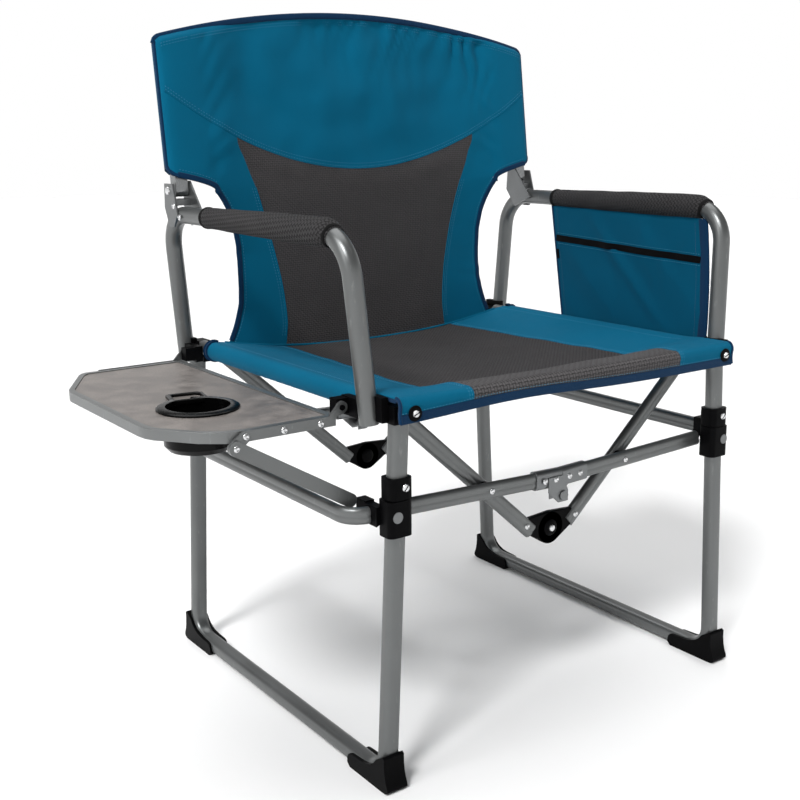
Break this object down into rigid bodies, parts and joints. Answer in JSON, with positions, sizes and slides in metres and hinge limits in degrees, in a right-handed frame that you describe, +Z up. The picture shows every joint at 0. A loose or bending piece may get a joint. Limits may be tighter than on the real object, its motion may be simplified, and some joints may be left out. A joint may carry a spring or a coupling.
{
  "type": "director chair",
  "caption": "Folding director chair with tubular side frames, a sling seat and back, scissor linkages, a side table with a cup holder and a side pocket",
  "frame": {"origin": "on the floor, in the middle of the whole chair's box with the table out", "axes": "+Z up, the chair faces -Y, and the table is on the sitter's right, at -X; left and right in the names are as seen from the front"},
  "size_m": [0.807, 0.5268, 0.89],
  "materials": {
    "frame_tube": "satin grey paint",
    "back_post": "brushed, light grey",
    "steel_bracket": "pressed sheet and rivets, satin",
    "black_plastic": "moulded, semi-matte",
    "arm_sleeve": "woven mesh over foam",
    "back_mesh": "coarse woven mesh",
    "teal_cloth": "woven polyester with a navy binding",
    "table_rim": "satin grey",
    "table_board": "mottled grey-brown board",
    "cup_holder": "glossy black"
  },
  "bodies": {
    "left_frame": {"left_leg_frame": "frame_tube", "left_arm_tube": "frame_tube", "left_seat_tube": "frame_tube", "left_arm_pad": "arm_sleeve", "left_post_bracket": "frame_tube", "left_front_corner_bracket": "black_plastic", "left_rear_corner_bracket": "black_plastic", "left_front_foot": "black_plastic", "left_rear_foot": "black_plastic", "left_front_collar": "black_plastic", "left_rear_collar": "black_plastic", "seat_sling": "teal_cloth", "lower_back_sling": "back_mesh"},
    "right_frame": {"right_leg_frame": "frame_tube", "right_arm_tube": "frame_tube", "right_seat_tube": "frame_tube", "right_arm_pad": "arm_sleeve", "right_post_bracket": "frame_tube", "right_front_corner_bracket": "black_plastic", "right_rear_corner_bracket": "black_plastic", "right_front_foot": "black_plastic", "right_rear_foot": "black_plastic", "right_front_collar": "black_plastic", "right_rear_collar": "black_plastic", "side_pocket": "teal_cloth"},
    "left_v_arms": {"left_front_v_arm": "frame_tube", "left_rear_v_arm": "frame_tube", "left_front_knuckle": "black_plastic", "left_rear_knuckle": "black_plastic"},
    "right_v_arms": {"right_front_v_arm": "frame_tube", "right_rear_v_arm": "frame_tube", "right_front_knuckle": "black_plastic", "right_rear_knuckle": "black_plastic"},
    "bar_pins": {"front_bar_pin": "steel_bracket", "rear_bar_pin": "steel_bracket"},
    "left_half_bars": {"left_front_half_bar": "frame_tube", "left_rear_half_bar": "frame_tube", "left_front_bar_bracket": "steel_bracket", "left_rear_bar_bracket": "steel_bracket"},
    "right_half_bars": {"right_front_half_bar": "frame_tube", "right_rear_half_bar": "frame_tube", "right_front_bar_bracket": "steel_bracket", "right_rear_bar_bracket": "steel_bracket"},
    "left_sliders": {"left_front_slider": "black_plastic", "left_rear_slider": "black_plastic", "left_side_rail": "frame_tube"},
    "right_sliders": {"right_front_slider": "black_plastic", "right_rear_slider": "black_plastic", "right_side_bar": "frame_tube"},
    "left_post": {"left_back_post": "back_post", "upper_back_sling": "teal_cloth"},
    "right_post": {"right_back_post": "back_post"},
    "table": {"table_rim": "table_rim", "table_board": "table_board", "cup_holder": "cup_holder", "front_table_arm": "frame_tube", "rear_table_arm": "frame_tube"},
    "table_struts": {"front_table_strut": "frame_tube", "rear_table_strut": "frame_tube"}
  },
  "joints": [
    {"name": "fold", "type": "hinge", "parent": "left_frame", "child": "left_v_arms", "pos_m": [-0.1475, 0.206, 0.431], "axis": [0, 1, 0], "range_deg": [0, 47], "deforming": ["seat_sling", "lower_back_sling", "upper_back_sling"]},
    {"name": "centre_hinge", "type": "hinge", "parent": "left_v_arms", "child": "right_v_arms", "pos_m": [0.0905, 0.206, 0.243], "axis": [0, 1, 0], "range_deg": [-94, 0]},
    {"name": "right_frame_pivot", "type": "hinge", "parent": "right_v_arms", "child": "right_frame", "pos_m": [0.3285, 0.206, 0.431], "axis": [0, 1, 0], "range_deg": [0, 47]},
    {"name": "bar_centre_slide", "type": "slide", "parent": "left_frame", "child": "bar_pins", "axis": [-0.935, 0, 0.3548], "range_m": [0, 0.2282]},
    {"name": "left_bar_hinge", "type": "hinge", "parent": "bar_pins", "child": "left_half_bars", "pos_m": [0.0905, 0.223, 0.291], "axis": [0, 1, 0], "range_deg": [-92.05, 0]},
    {"name": "right_bar_hinge", "type": "hinge", "parent": "bar_pins", "child": "right_half_bars", "pos_m": [0.0905, 0.223, 0.291], "axis": [0, 1, 0], "range_deg": [0, 92.05]},
    {"name": "left_slide", "type": "slide", "parent": "left_frame", "child": "left_sliders", "axis": [-0.0489, 0, -0.9988], "range_m": [0, 0.1885]},
    {"name": "right_slide", "type": "slide", "parent": "right_frame", "child": "right_sliders", "axis": [0.0489, 0, -0.9988], "range_m": [0, 0.1885]},
    {"name": "back_fold", "type": "hinge", "parent": "left_frame", "child": "left_post", "pos_m": [-0.2015, 0.196, 0.657], "axis": [1, 0, 0], "range_deg": [0, 90]},
    {"name": "right_back_fold", "type": "hinge", "parent": "right_frame", "child": "right_post", "pos_m": [0.3825, 0.196, 0.657], "axis": [1, 0, 0], "range_deg": [0, 90]},
    {"name": "table_fold", "type": "hinge", "parent": "left_frame", "child": "table", "pos_m": [-0.2075, 0.195, 0.44], "axis": [0, 1, 0], "range_deg": [0, 84]},
    {"name": "strut_fold", "type": "hinge", "parent": "table", "child": "table_struts", "pos_m": [-0.3375, 0.2, 0.416], "axis": [0, 1, 0], "range_deg": [-31, 0]}
  ],
  "couplings": [
    {"joint": "centre_hinge", "follows": "fold", "ratio": -2},
    {"joint": "right_frame_pivot", "follows": "fold", "ratio": 1},
    {"joint": "bar_centre_slide", "follows": "fold", "m_per_rad": 0.278},
    {"joint": "left_bar_hinge", "follows": "fold", "ratio": -1.9574},
    {"joint": "right_bar_hinge", "follows": "fold", "ratio": 1.9574},
    {"joint": "left_slide", "follows": "fold", "m_per_rad": 0.2297},
    {"joint": "right_slide", "follows": "fold", "m_per_rad": 0.2297},
    {"joint": "right_back_fold", "follows": "back_fold", "ratio": 1},
    {"joint": "strut_fold", "follows": "table_fold", "ratio": -0.369}
  ]
}
